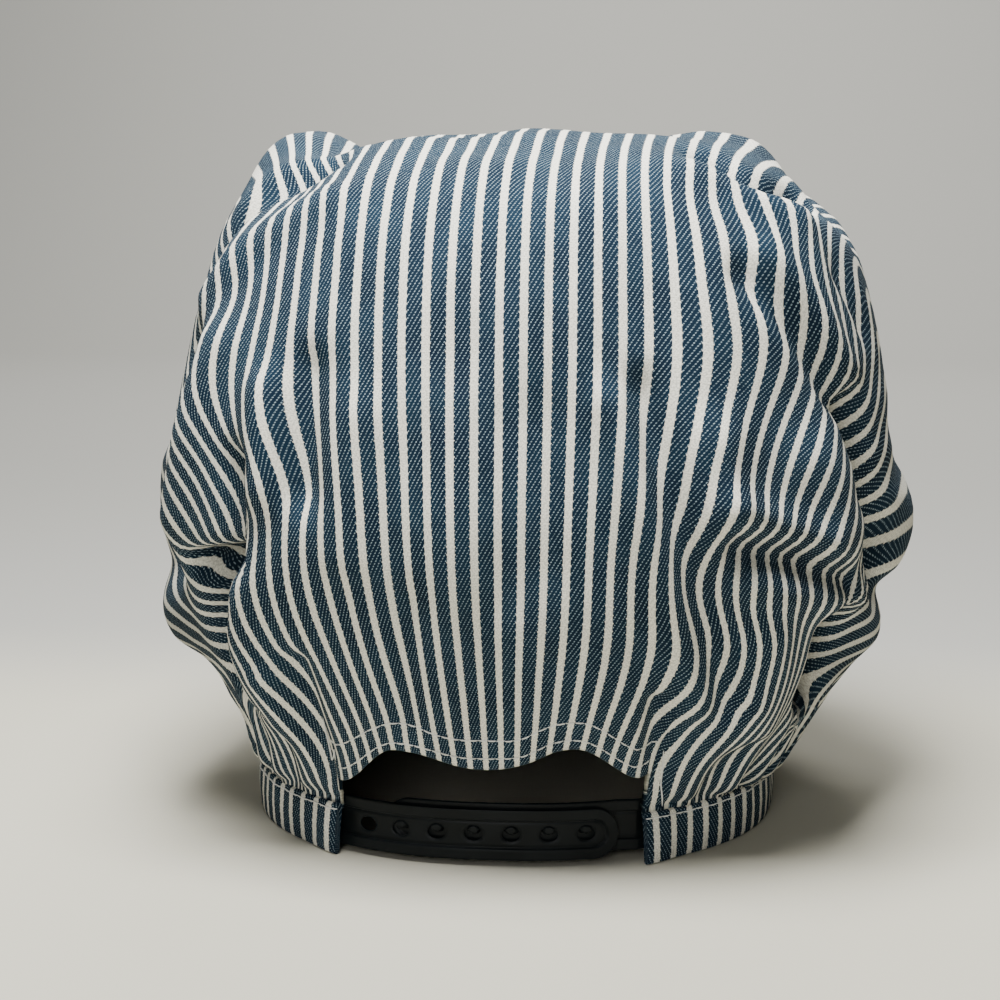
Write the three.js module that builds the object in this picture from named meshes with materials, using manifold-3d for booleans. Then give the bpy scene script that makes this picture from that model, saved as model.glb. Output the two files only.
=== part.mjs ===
// Railroad engineer cap: pleated cloth crown, narrow band, short brim and a plastic snap strap.
// Millimetres, +Z up. The brim points to -Y, the strap to +Y, and the cap stands on its band.
import * as THREE from 'three';
import { mergeVertices } from 'three/addons/utils/BufferGeometryUtils.js';
import Module from 'manifold-3d';

const wasm = await Module();
wasm.setup();

// Band: a ring of doubled cloth, open at the back.
const bandHalfWidth = 85;
const bandHalfDepth = 96;
const bandHeight = 16;
const bandWall = 2.4;
const bandSquareness = 2.35;
const openingHalfWidth = 47;

// Crown: one big piece of cloth gathered into the band.
const crownHalfWidth = 125;
const crownHalfDepth = 118;
const crownHeight = 205;
const clothWall = 2;
const gatherCount = 22;
const gatherDepth = 2.2;
const gatherRise = 16;
const hemCornerRise = 10;
const hemLeftHumpRise = 21;
const hemRightHumpRise = 24;
const hemMiddleRise = 16;
const hemHumpAt = 0.58;

// Brim: a short stiff peak, sewn to the front of the band.
const brimReach = 62;
const brimWall = 3;
const brimSpread = 68;
const brimSideWidth = 3;
const brimArch = 7;
const brimDroop = 3;
const brimFloorClearance = 0.3;

// Snap strap: two plastic tongues, one with holes over one with studs.
const strapHeight = 16;
const strapWall = 1.5;
const strapFoot = 2;
const innerStrapLift = 1.5;
const strapTuck = 12;
const outerStrapEnd = 40.7;
const innerStrapEnd = 33.5;
const holePitch = 11.65;
const holeCount = 7;
const firstHole = -39.45;
const holeRadius = 2.4;
const studClearance = 0.3;
const studProud = 0.7;
const strapEase = 6;

const pieceGap = 0.3;

// Facets: how finely the cloth is cut up.
const openingColumns = 14;
const restColumns = 70;
const crownRows = 28;
const bandColumns = 56;
const brimColumns = 26;
const brimRows = 4;
const strapStep = 7;
const roundEndSteps = 6;
const pegSides = 10;

const degrees = Math.PI / 180;

// Outline of the crown at several heights. Shares: up of crownHeight, left and right (seen from
// behind) of crownHalfWidth, back and front of crownHalfDepth. squareness 2 is an ellipse.
const seamRow = {
  up: 0,
  left: bandHalfWidth / crownHalfWidth,
  right: bandHalfWidth / crownHalfWidth,
  back: bandHalfDepth / crownHalfDepth,
  front: bandHalfDepth / crownHalfDepth,
  squareness: bandSquareness,
};
const crownSections = [
  seamRow,
  { up: 0.07, left: 0.76, right: 0.77, back: 0.84, front: 0.86, squareness: 2.35 },
  { up: 0.15, left: 0.84, right: 0.87, back: 0.89, front: 0.94, squareness: 2.4 },
  { up: 0.24, left: 0.885, right: 0.925, back: 0.935, front: 0.99, squareness: 2.45 },
  { up: 0.34, left: 0.9, right: 0.965, back: 0.965, front: 1.02, squareness: 2.5 },
  { up: 0.44, left: 0.905, right: 0.985, back: 0.97, front: 1.03, squareness: 2.5 },
  { up: 0.54, left: 0.895, right: 0.975, back: 0.95, front: 1.01, squareness: 2.5 },
  { up: 0.65, left: 0.86, right: 0.955, back: 0.91, front: 0.96, squareness: 2.5 },
  { up: 0.75, left: 0.82, right: 0.925, back: 0.85, front: 0.885, squareness: 2.5 },
  { up: 0.84, left: 0.775, right: 0.87, back: 0.765, front: 0.785, squareness: 2.45 },
  { up: 0.91, left: 0.7, right: 0.765, back: 0.655, front: 0.665, squareness: 2.4 },
  { up: 0.96, left: 0.59, right: 0.625, back: 0.5, front: 0.52, squareness: 2.35 },
  { up: 0.99, left: 0.37, right: 0.37, back: 0.3, front: 0.31, squareness: 2.2 },
  { up: 1, left: 0, right: 0, back: 0, front: 0, squareness: 2 },
];

// Folds and puffs: ridges with a positive lift, valleys with a negative one, between two points.
// Points are shares: across of crownHalfWidth (right seen from behind), back of crownHalfDepth,
// up of crownHeight. lift and width are shares of foldSize.
const foldSize = 10;
const crownFolds = [
  { name: 'upper left puff', from: [-0.9, -0.25, 0.42], to: [-0.9, 0.22, 0.41], lift: 0.75, width: 2.1 },
  { name: 'lower left puff', from: [-0.88, -0.3, 0.24], to: [-0.86, 0.25, 0.24], lift: 0.85, width: 1.6 },
  { name: 'crease between left puffs', from: [-0.92, -0.4, 0.325], to: [-0.88, 0.5, 0.335], lift: -0.5, width: 0.8 },
  { name: 'left corner groove, upper', from: [-0.86, 0.4, 0.55], to: [-0.88, 0.4, 0.3], lift: -0.7, width: 0.9 },
  { name: 'left corner groove, lower', from: [-0.8, 0.5, 0.33], to: [-0.76, 0.45, 0.12], lift: -1, width: 1.1 },
  { name: 'left back valley', from: [-0.5, 0.75, 0.66], to: [-0.47, 0.8, 0.42], lift: -0.45, width: 1 },
  { name: 'left back ridge', from: [-0.62, 0.68, 0.6], to: [-0.58, 0.72, 0.42], lift: 0.35, width: 0.9 },
  { name: 'left pinch', from: [-0.7, 0.6, 0.46], to: [-0.71, 0.6, 0.33], lift: -0.45, width: 0.8 },
  { name: 'upper right puff', from: [0.98, -0.22, 0.39], to: [0.96, 0.2, 0.38], lift: 0.95, width: 1.7 },
  { name: 'lower right puff', from: [0.9, -0.28, 0.21], to: [0.88, 0.24, 0.21], lift: 0.9, width: 1.5 },
  { name: 'crease between right puffs', from: [0.98, -0.4, 0.29], to: [0.9, 0.42, 0.285], lift: -0.55, width: 0.8 },
  { name: 'right corner groove, upper', from: [0.88, 0.42, 0.52], to: [0.92, 0.38, 0.3], lift: -0.8, width: 0.9 },
  { name: 'right corner groove, lower', from: [0.78, 0.5, 0.24], to: [0.73, 0.5, 0.12], lift: -1, width: 1 },
  { name: 'right drag fold', from: [0.6, 0.68, 0.34], to: [0.76, 0.56, 0.24], lift: -0.4, width: 0.8 },
  { name: 'right shoulder crease', from: [0.58, 0.66, 0.76], to: [0.77, 0.56, 0.57], lift: -0.4, width: 0.9 },
  { name: 'top right ridge', from: [0.46, 0.3, 0.97], to: [0.72, 0.38, 0.86], lift: 0.45, width: 1 },
  { name: 'top right valley', from: [0.56, 0.02, 0.98], to: [0.82, 0.15, 0.88], lift: -0.6, width: 1.1 },
  { name: 'top left ridge', from: [-0.44, 0.42, 0.87], to: [-0.74, 0.4, 0.7], lift: 0.35, width: 0.9 },
  { name: 'top left valley', from: [-0.48, 0.2, 0.93], to: [-0.8, 0.18, 0.7], lift: -0.8, width: 1 },
  { name: 'left horn', from: [-0.56, -0.12, 0.97], to: [-0.58, 0.02, 0.97], lift: 1, width: 1.6 },
  { name: 'dip beside the horn', from: [-0.37, -0.2, 0.99], to: [-0.4, 0.2, 0.97], lift: -0.7, width: 1.2 },
  { name: 'front centre pleat', from: [0.02, -1, 0.3], to: [0, -0.84, 0.03], lift: -0.5, width: 1 },
  { name: 'front left pleat', from: [-0.34, -0.98, 0.34], to: [-0.26, -0.8, 0.03], lift: -0.5, width: 1 },
  { name: 'front right pleat', from: [0.36, -0.97, 0.32], to: [0.27, -0.8, 0.03], lift: -0.5, width: 1 },
  { name: 'front left corner fold', from: [-0.76, -0.68, 0.6], to: [-0.6, -0.6, 0.08], lift: -0.7, width: 1.2 },
  { name: 'front right corner fold', from: [0.8, -0.68, 0.56], to: [0.6, -0.6, 0.08], lift: -0.7, width: 1.2 },
  { name: 'front overhang', from: [-0.45, -0.98, 0.2], to: [0.45, -0.98, 0.2], lift: 0.5, width: 1.5 },
];

// Value of one column of a table at a height, on a smooth curve through the rows.
function columnAt(rows, column, up) {
  const lift = (row) => Math.asin(Math.min(1, row.up));
  const t = Math.asin(Math.min(1, Math.max(0, up)));
  let k = 0;
  while (k < rows.length - 2 && lift(rows[k + 1]) <= t) k++;
  const slope = (i, j) => (rows[j][column] - rows[i][column]) / (lift(rows[j]) - lift(rows[i]));
  const before = Math.max(0, k - 1);
  const after = Math.min(rows.length - 1, k + 2);
  const step = lift(rows[k + 1]) - lift(rows[k]);
  const f = (t - lift(rows[k])) / step;
  const startSlope = slope(before, k + 1) * step;
  const endSlope = slope(k, after) * step;
  const a = rows[k][column];
  const b = rows[k + 1][column];
  return a + f * (startSlope + f * (3 * (b - a) - 2 * startSlope - endSlope
    + f * (2 * (a - b) + startSlope + endSlope)));
}

// Point of the plain crown. around is 0 at the back and grows to the right seen from behind.
function plainCrownPoint(around, up) {
  const sine = Math.sin(around);
  const cosine = Math.cos(around);
  const side = sine > 0 ? 'right' : 'left';
  const end = cosine > 0 ? 'back' : 'front';
  const power = 2 / columnAt(crownSections, 'squareness', up);
  const across = crownHalfWidth * columnAt(crownSections, side, up) * Math.abs(sine) ** power;
  const along = crownHalfDepth * columnAt(crownSections, end, up) * Math.abs(cosine) ** power;
  return new THREE.Vector3(
    -Math.sign(sine) * across,
    Math.sign(cosine) * along,
    bandHeight + pieceGap + crownHeight * up,
  );
}

const foldPoint = ([across, back, up]) => new THREE.Vector3(
  -across * crownHalfWidth,
  back * crownHalfDepth,
  bandHeight + pieceGap + up * crownHeight,
);
const foldLines = crownFolds.map((fold) => ({
  line: new THREE.Line3(foldPoint(fold.from), foldPoint(fold.to)),
  lift: fold.lift * foldSize,
  width: fold.width * foldSize,
}));

// How far the cloth stands out from the plain crown at a point.
function foldLift(point, around) {
  const nearest = new THREE.Vector3();
  let lift = 0;
  for (const fold of foldLines) {
    fold.line.closestPointToPoint(point, true, nearest);
    lift += fold.lift * Math.exp(-((nearest.distanceTo(point) / fold.width) ** 2));
  }
  const rise = point.z - bandHeight - pieceGap;
  const sideShare = Math.min(1, Math.max(0, (Math.abs(around) - openingAngle) / (20 * degrees)));
  const fade = (1 - Math.exp(-rise / 3)) * Math.exp(-rise / gatherRise);
  return lift * (1 - Math.exp(-rise / 12)) + sideShare * gatherDepth * 2 * fade * Math.cos(gatherCount * around);
}

const openingAngle = Math.asin((openingHalfWidth / bandHalfWidth) ** (bandSquareness / 2));

// Height of the cloth's lower edge above the band's top, at a share of the opening's half width.
function hemRise(share) {
  const part = Math.abs(share);
  const hemHumpRise = share < 0 ? hemLeftHumpRise : hemRightHumpRise;
  const ease = (t) => (1 - Math.cos(Math.PI * t)) / 2;
  if (part < hemHumpAt) return hemMiddleRise + (hemHumpRise - hemMiddleRise) * ease(part / hemHumpAt);
  const beyond = (part - hemHumpAt) / (1 - hemHumpAt);
  return hemHumpRise + (hemCornerRise - hemHumpRise) * ease(beyond);
}

// Grid of points of a closed surface to one body: rows of a loop, then one point on top.
function shellBody(outer, inner, outerTop, innerTop) {
  const rows = outer.length;
  const columns = outer[0].length;
  const points = [...outer.flat(), outerTop, ...inner.flat(), innerTop];
  const innerStart = rows * columns + 1;
  const faces = [];
  for (let i = 0; i < columns; i++) {
    const next = (i + 1) % columns;
    for (let j = 0; j < rows - 1; j++) {
      const [a, b] = [j * columns + i, j * columns + next];
      const [c, d] = [b + columns, a + columns];
      faces.push(a, b, c, a, c, d);
      faces.push(innerStart + a, innerStart + c, innerStart + b, innerStart + a, innerStart + d, innerStart + c);
    }
    const [a, b] = [(rows - 1) * columns + i, (rows - 1) * columns + next];
    faces.push(a, b, rows * columns);
    faces.push(innerStart + b, innerStart + a, innerStart + rows * columns);
    faces.push(i, innerStart + i, next, next, innerStart + i, innerStart + next);
  }
  return facetedGeometry(points, faces);
}

function facetedGeometry(points, faces) {
  const geometry = new THREE.BufferGeometry();
  geometry.setAttribute('position', new THREE.Float32BufferAttribute(points.flatMap((p) => p.toArray()), 3));
  geometry.setIndex(faces);
  const flat = geometry.toNonIndexed();
  flat.computeVertexNormals();
  return flat;
}

// Columns of the crown: even over the opening, a thin one at each of its sides, even round the rest.
function crownColumns() {
  const angles = [];
  for (let i = 0; i <= openingColumns; i++) angles.push(openingAngle * (2 * i / openingColumns - 1));
  const edge = openingAngle + clothWall / bandHalfWidth;
  const rest = 2 * Math.PI - 2 * edge;
  for (let i = 0; i <= restColumns; i++) angles.push(edge + rest * i / restColumns);
  return angles.map((angle) => (angle > Math.PI ? angle - 2 * Math.PI : angle));
}

function crownGeometry() {
  const angles = crownColumns();
  const surfacePoint = (around, up) => {
    const point = plainCrownPoint(around, up);
    const small = 0.01;
    const beside = plainCrownPoint(around + small, up).sub(plainCrownPoint(around - small, up));
    const above = plainCrownPoint(around, Math.min(0.999, up + small))
      .sub(plainCrownPoint(around, Math.max(0, Math.min(0.999, up + small) - 2 * small)));
    const normal = beside.cross(above).normalize();
    return point.addScaledVector(normal, foldLift(point, around));
  };
  const outer = [];
  for (let j = 0; j < crownRows; j++) {
    outer.push(angles.map((around) => {
      const inOpening = Math.abs(around) <= openingAngle + 1e-6;
      const share = -plainCrownPoint(around, 0).x / openingHalfWidth;
      const start = inOpening ? Math.asin(hemRise(share) / crownHeight) : 0;
      const climb = start + (Math.PI / 2 - start) * j / crownRows;
      return surfacePoint(around, Math.sin(climb));
    }));
  }
  const outerTop = plainCrownPoint(0, 1);
  outerTop.z += foldLift(outerTop, 0);
  const count = angles.length;
  const inner = outer.map((row, j) => row.map((point, i) => {
    const beside = row[(i + 1) % count].clone().sub(row[(i + count - 1) % count]);
    const above = (outer[j + 1]?.[i] ?? outerTop).clone().sub(outer[Math.max(0, j - 1)][i]);
    const normal = beside.cross(above);
    if (j === 0) normal.z = 0;
    return point.clone().addScaledVector(normal.normalize(), -clothWall);
  }));
  const innerTop = outerTop.clone().setZ(outerTop.z - clothWall);
  return shellBody(outer, inner, outerTop, innerTop);
}

// A strip bent along a run of stations: each station is the four corners of its cross-section.
function stripBody(stations) {
  const points = stations.flat();
  const faces = [0, 2, 1, 0, 3, 2];
  for (let k = 0; k < stations.length - 1; k++) {
    for (let c = 0; c < 4; c++) {
      const [a, b] = [4 * k + c, 4 * k + (c + 1) % 4];
      faces.push(a, b, b + 4, a, b + 4, a + 4);
    }
  }
  const last = points.length - 4;
  faces.push(last, last + 1, last + 2, last, last + 2, last + 3);
  return facetedGeometry(points, faces);
}

// Point round the head, inset from the band's outside. around is 0 at the back, as on the crown.
function headPoint(around, inset, z) {
  const sine = Math.sin(around);
  const cosine = Math.cos(around);
  return new THREE.Vector3(
    -Math.sign(sine) * (bandHalfWidth - inset) * Math.abs(sine) ** (2 / bandSquareness),
    Math.sign(cosine) * (bandHalfDepth - inset) * Math.abs(cosine) ** (2 / bandSquareness),
    z,
  );
}

function bandGeometry() {
  const stations = [];
  for (let k = 0; k <= bandColumns; k++) {
    const around = openingAngle + (2 * Math.PI - 2 * openingAngle) * k / bandColumns;
    const at = (inset, z) => headPoint(around, inset, z);
    stations.push([at(0, 0), at(bandWall, 0), at(bandWall, bandHeight), at(0, bandHeight)]);
  }
  return stripBody(stations);
}

function brimGeometry() {
  const rowsOfPoints = [];
  const rootPoint = (angle) => headPoint(Math.PI + angle, -pieceGap, 0);
  const tipX = rootPoint(brimSpread * degrees).x;
  const tipY = -rootPoint(brimSpread * degrees).y;
  const reachY = bandHalfDepth + brimReach - tipY;
  for (let k = 0; k <= brimColumns; k++) {
    const share = 2 * k / brimColumns - 1;
    const angle = share * brimSpread * degrees;
    const { x: rootX, y: rootY } = rootPoint(angle);
    const sweep = share * Math.PI / 2;
    const edgeX = (tipX + brimSideWidth) * Math.sin(sweep);
    const edgeY = -tipY - reachY * Math.cos(sweep) ** 0.9;
    rowsOfPoints.push(Array.from({ length: brimRows + 1 }, (_, r) => {
      const out = r / brimRows;
      const x = rootX + (edgeX - rootX) * out;
      const arch = 1 - (x / (tipX + brimSideWidth)) ** 2;
      const bottom = brimFloorClearance + brimArch * arch - brimDroop * arch * out;
      return [new THREE.Vector3(x, rootY + (edgeY - rootY) * out, bottom)];
    }));
  }
  const grid = rowsOfPoints.map((row) => row.flat());
  const columns = grid.length;
  const rows = brimRows + 1;
  const points = [
    ...grid.flat(),
    ...grid.flat().map((p) => p.clone().setZ(p.z + brimWall)),
  ];
  const top = columns * rows;
  const faces = [];
  for (let k = 0; k < columns - 1; k++) {
    for (let r = 0; r < rows - 1; r++) {
      const [a, b] = [k * rows + r, (k + 1) * rows + r];
      faces.push(a, b, b + 1, a, b + 1, a + 1);
      faces.push(top + a, top + b + 1, top + b, top + a, top + a + 1, top + b + 1);
    }
    const [a, b] = [k * rows, (k + 1) * rows];
    faces.push(a, top + a, top + b, a, top + b, b);
    const [c, d] = [a + brimRows, b + brimRows];
    faces.push(c, top + d, top + c, c, d, top + d);
  }
  for (let r = 0; r < rows - 1; r++) {
    faces.push(r, r + 1, top + r + 1, r, top + r + 1, top + r);
    const end = (columns - 1) * rows + r;
    faces.push(end, top + end + 1, end + 1, end, top + end, top + end + 1);
  }
  return facetedGeometry(points, faces);
}

// Angle round the head at a length along the band's inside from the back centre.
function angleAlong(length) {
  const step = 0.05 * degrees;
  let angle = 0;
  let walked = 0;
  let last = headPoint(0, bandWall, 0);
  while (walked < Math.abs(length)) {
    angle += step;
    const next = headPoint(angle, bandWall, 0);
    walked += next.distanceTo(last);
    last = next;
  }
  return Math.sign(length) * angle;
}

// Point on a strap: length round the head from the back centre, height, and depth inside the band.
function strapPoint(length, height, inset) {
  return headPoint(angleAlong(length), bandWall + inset, height);
}

// Tongue with a round end. face gives the depth of its outer side under the band's inside.
function tongueGeometry({ anchor, end, foot, face }) {
  const direction = Math.sign(end - anchor);
  const radius = strapHeight / 2;
  const straight = Math.abs(end - anchor) - radius;
  const sections = [];
  const steps = Math.ceil(straight / strapStep);
  for (let k = 0; k < steps; k++) sections.push([straight * k / steps, radius]);
  for (let k = 0; k < roundEndSteps; k++) {
    const turn = (Math.PI / 2) * k / roundEndSteps;
    sections.push([straight + radius * Math.sin(turn), radius * Math.cos(turn)]);
  }
  const stations = sections.map(([run, half]) => {
    const length = anchor + direction * run;
    const inset = face(length);
    const middle = foot + radius;
    return [
      strapPoint(length, middle - half, inset),
      strapPoint(length, middle - half, inset + strapWall),
      strapPoint(length, middle + half, inset + strapWall),
      strapPoint(length, middle + half, inset),
    ];
  });
  return stripBody(direction > 0 ? stations : stations.reverse());
}

// Round peg at a place on the strap, standing square to it, between two depths.
function pegGeometry(length, height, radius, fromInset, toInset) {
  const peg = new THREE.CylinderGeometry(radius, radius, fromInset - toInset, pegSides);
  const middle = strapPoint(length, height, (fromInset + toInset) / 2);
  const outward = strapPoint(length, height, toInset).sub(strapPoint(length, height, fromInset)).normalize();
  peg.applyQuaternion(new THREE.Quaternion().setFromUnitVectors(new THREE.Vector3(0, 1, 0), outward));
  return peg.translate(middle.x, middle.y, middle.z);
}

function toManifold(geometry) {
  const bare = geometry.deleteAttribute('normal').deleteAttribute('uv');
  const merged = mergeVertices(bare, 1e-4);
  return new wasm.Manifold(new wasm.Mesh({
    numProp: 3,
    vertProperties: new Float32Array(merged.attributes.position.array),
    triVerts: new Uint32Array(merged.index.array),
  }));
}

function fromManifold(solid) {
  const mesh = solid.getMesh();
  const geometry = new THREE.BufferGeometry();
  geometry.setAttribute('position', new THREE.BufferAttribute(mesh.vertProperties, 3));
  geometry.setIndex(new THREE.BufferAttribute(mesh.triVerts, 1));
  const flat = geometry.toNonIndexed();
  flat.computeVertexNormals();
  return flat;
}

const anchorLength = openingHalfWidth + strapTuck;
const overlapInset = pieceGap + strapWall + pieceGap;
const strapMiddle = strapFoot + strapHeight / 2;
const holeCentres = Array.from({ length: holeCount }, (_, k) => firstHole + k * holePitch);

function outerStrapGeometry() {
  let solid = toManifold(tongueGeometry({
    anchor: -anchorLength, end: outerStrapEnd, foot: strapFoot, face: () => pieceGap,
  }));
  for (const centre of holeCentres) {
    const drill = pegGeometry(centre, strapMiddle, holeRadius, overlapInset, pieceGap - strapWall);
    solid = solid.subtract(toManifold(drill));
  }
  return fromManifold(solid);
}

function innerStrapGeometry() {
  // The studded tongue lies under the other one, and comes out to the band past its end.
  const face = (length) => {
    const past = Math.min(1, Math.max(0, (length - outerStrapEnd - pieceGap) / strapEase));
    return overlapInset + (pieceGap - overlapInset) * past;
  };
  let solid = toManifold(tongueGeometry({
    anchor: anchorLength, end: -innerStrapEnd, foot: strapFoot + innerStrapLift, face,
  }));
  for (const centre of holeCentres.slice(1)) {
    const root = overlapInset + strapWall / 2;
    const stud = pegGeometry(centre, strapMiddle, holeRadius - studClearance, root, pieceGap - studProud);
    solid = solid.add(toManifold(stud));
  }
  return fromManifold(solid);
}

const denim = { color: 0x5b7590, roughness: 0.92, metalness: 0 };
const plastic = { color: 0x15161a, roughness: 0.42, metalness: 0 };

function piece(name, geometry, finish) {
  const mesh = new THREE.Mesh(geometry, new THREE.MeshStandardMaterial(finish));
  mesh.name = name;
  return mesh;
}

const cap = new THREE.Group();
cap.add(
  piece('crown', crownGeometry(), denim),
  piece('band', bandGeometry(), denim),
  piece('brim', brimGeometry(), denim),
  piece('strap_outer', outerStrapGeometry(), plastic),
  piece('strap_inner', innerStrapGeometry(), plastic),
);

// The origin is under the middle of the cap's box, on the surface that it stands on.
const box = new THREE.Box3().setFromObject(cap);
cap.position.set(-(box.min.x + box.max.x) / 2, -(box.min.y + box.max.y) / 2, -box.min.z);

export default cap;
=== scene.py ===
# Railroad engineer cap: striped twill crown, band and brim, plastic snap strap, sewing.
# Lengths are millimetres times mm. The brim points to -Y, the strap to +Y.
import math

import bpy
import numpy as np
from mathutils import Matrix, Vector, noise


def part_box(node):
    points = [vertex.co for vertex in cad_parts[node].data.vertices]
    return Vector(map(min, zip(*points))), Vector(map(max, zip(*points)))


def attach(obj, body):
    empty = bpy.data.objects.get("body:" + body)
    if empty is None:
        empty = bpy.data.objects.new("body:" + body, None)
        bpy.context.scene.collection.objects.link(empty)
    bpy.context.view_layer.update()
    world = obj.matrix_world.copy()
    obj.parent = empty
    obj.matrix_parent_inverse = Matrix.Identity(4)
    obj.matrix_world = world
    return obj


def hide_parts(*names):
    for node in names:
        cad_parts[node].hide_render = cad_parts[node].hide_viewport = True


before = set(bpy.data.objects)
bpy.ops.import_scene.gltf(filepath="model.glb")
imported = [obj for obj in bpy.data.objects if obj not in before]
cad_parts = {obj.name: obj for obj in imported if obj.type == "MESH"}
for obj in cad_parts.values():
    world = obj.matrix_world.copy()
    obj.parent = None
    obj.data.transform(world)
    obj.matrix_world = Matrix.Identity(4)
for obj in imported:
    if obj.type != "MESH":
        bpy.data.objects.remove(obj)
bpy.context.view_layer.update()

mm = 0.001
bandLow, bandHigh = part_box("band")

# The band is a squarish oval round this point, on the surface that the cap stands on.
cap = {
    "bandHalfWidth": 85 * mm,
    "bandHalfDepth": 96 * mm,
    "bandHeight": 16 * mm,
    "bandWall": 2.4 * mm,
    "bandSquareness": 2.35,
    "openingHalfWidth": 47 * mm,
    "crownHalfWidth": 125 * mm,
    "crownHalfDepth": 118 * mm,
    "crownHeight": 205 * mm,
    "gap": 0.3 * mm,
}
capCentre = np.array([(bandLow.x + bandHigh.x) / 2, bandLow.y + cap["bandHalfDepth"], 0])
seamHeight = cap["bandHeight"] + cap["gap"]
openingAngle = math.asin((cap["openingHalfWidth"] / cap["bandHalfWidth"]) ** (cap["bandSquareness"] / 2))


def headPoint(around, inset, height):
    # a point round the head from the cap's centre; around is 0 at the back and grows to the right
    sine, cosine = np.sin(around), np.cos(around)
    power = 2 / cap["bandSquareness"]
    return np.stack([
        -np.sign(sine) * (cap["bandHalfWidth"] - inset) * np.abs(sine) ** power,
        np.sign(cosine) * (cap["bandHalfDepth"] - inset) * np.abs(cosine) ** power,
        height + 0 * around,
    ], -1)


def aroundOf(points):
    power = cap["bandSquareness"] / 2
    across, back = -points[..., 0] / cap["bandHalfWidth"], points[..., 1] / cap["bandHalfDepth"]
    return np.arctan2(np.sign(across) * np.abs(across) ** power, np.sign(back) * np.abs(back) ** power)


# Blender objects

def deselectAll():
    bpy.ops.object.select_all(action="DESELECT")


def activate(thing):
    deselectAll()
    thing.select_set(True)
    bpy.context.view_layer.objects.active = thing


def applyModifier(thing, kind, **settings):
    activate(thing)
    modifier = thing.modifiers.new(kind.lower(), kind)
    for name, value in settings.items():
        setattr(modifier, name, value)
    bpy.ops.object.modifier_apply(modifier=modifier.name)


def clothSheet(name, across, along):
    # a flat grid of cloth; returns it with each vertex's column and row
    deselectAll()
    bpy.ops.mesh.primitive_grid_add(x_subdivisions=across, y_subdivisions=along, size=1)
    sheet = bpy.context.object
    sheet.name = name
    sheet.data.name = name
    flat = np.zeros(len(sheet.data.vertices) * 3)
    sheet.data.vertices.foreach_get("co", flat)
    flat = flat.reshape(-1, 3) + 0.5
    column = np.rint(flat[:, 0] * across).astype(int)
    row = np.rint(flat[:, 1] * along).astype(int)
    return sheet, column, row


def placeSheet(sheet, points, clothPlace):
    # points and clothPlace (metres across and along the stripes) have one line per vertex
    mesh = sheet.data
    mesh.vertices.foreach_set("co", points.astype(np.float32).ravel())
    corners = np.zeros(len(mesh.loops), int)
    mesh.loops.foreach_get("vertex_index", corners)
    layer = mesh.uv_layers.active or mesh.uv_layers.new(name="UVMap")
    layer.data.foreach_set("uv", clothPlace[corners].astype(np.float32).ravel())
    mesh.update()
    activate(sheet)
    bpy.ops.object.shade_smooth()


def editWhole(sheet, *steps):
    # runs edit-mode tools, each on the whole mesh
    activate(sheet)
    bpy.ops.object.mode_set(mode="EDIT")
    for tool, settings in steps:
        bpy.ops.mesh.select_all(action="SELECT")
        tool(**settings)
    bpy.ops.object.mode_set(mode="OBJECT")


faceOutward = (bpy.ops.mesh.normals_make_consistent, {"inside": False})


def closeSheet(sheet):
    # joins the sheet's meeting edges, fills its ends and turns its faces outward
    editWhole(sheet, (bpy.ops.mesh.remove_doubles, {"threshold": 0.01 * mm}),
              (bpy.ops.mesh.fill_holes, {"sides": 0}), faceOutward)
    bpy.ops.object.shade_smooth_by_angle(angle=math.radians(45))


def finishPiece(piece, slot, material, *nodes):
    piece.data.materials.clear()
    for finish in material if isinstance(material, list) else [material]:
        piece.data.materials.append(finish)
    if nodes:
        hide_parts(*nodes)
    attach(piece, "root")


# Shader maths: a Wire is one output of a node

class Wire:
    def __init__(self, tree, socket=None):
        self.tree = tree
        self.socket = socket

    def node(self, kind, settings=None, inputs=None, out=0):
        made = self.tree.nodes.new(kind)
        for name, value in (settings or {}).items():
            setattr(made, name, value)
        for name, value in (inputs or {}).items():
            if isinstance(value, Wire):
                self.tree.links.new(value.socket, made.inputs[name])
            else:
                made.inputs[name].default_value = value
        return Wire(self.tree, made.outputs[out])

    def math(self, operation, *values):
        return self.node("ShaderNodeMath", {"operation": operation}, dict(enumerate(values)))

    def __add__(self, other):
        return self.math("ADD", self, other)

    def __sub__(self, other):
        return self.math("SUBTRACT", self, other)

    def __rsub__(self, other):
        return self.math("SUBTRACT", other, self)

    def __mul__(self, other):
        return self.math("MULTIPLY", self, other)

    def __truediv__(self, other):
        return self.math("DIVIDE", self, other)

    __radd__ = __add__
    __rmul__ = __mul__

    def smooth(self, low, high):
        settings = {"interpolation_type": "SMOOTHSTEP"}
        return self.node("ShaderNodeMapRange", settings, {0: self, 1: low, 2: high, 3: 0.0, 4: 1.0})

    def blend(self, first, second):
        # a colour from first, where this is 0, to second, where it is 1
        inputs = {0: self, 6: first, 7: second}
        return self.node("ShaderNodeMix", {"data_type": "RGBA"}, inputs, out=2)

    def noise(self, place, scale, detail=2.0):
        return self.node("ShaderNodeTexNoise", {}, {"Vector": place, "Scale": scale, "Detail": detail})


def newMaterial(name, **constants):
    material = bpy.data.materials.new(name)
    material.use_nodes = True
    shader = material.node_tree.nodes["Principled BSDF"]
    for socket, value in constants.items():
        shader.inputs[socket.replace("_", " ")].default_value = value
    return material, shader, Wire(material.node_tree)


def feed(material, shader, **wires):
    for socket, wire in wires.items():
        material.node_tree.links.new(wire.socket, shader.inputs[socket.replace("_", " ")])


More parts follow.
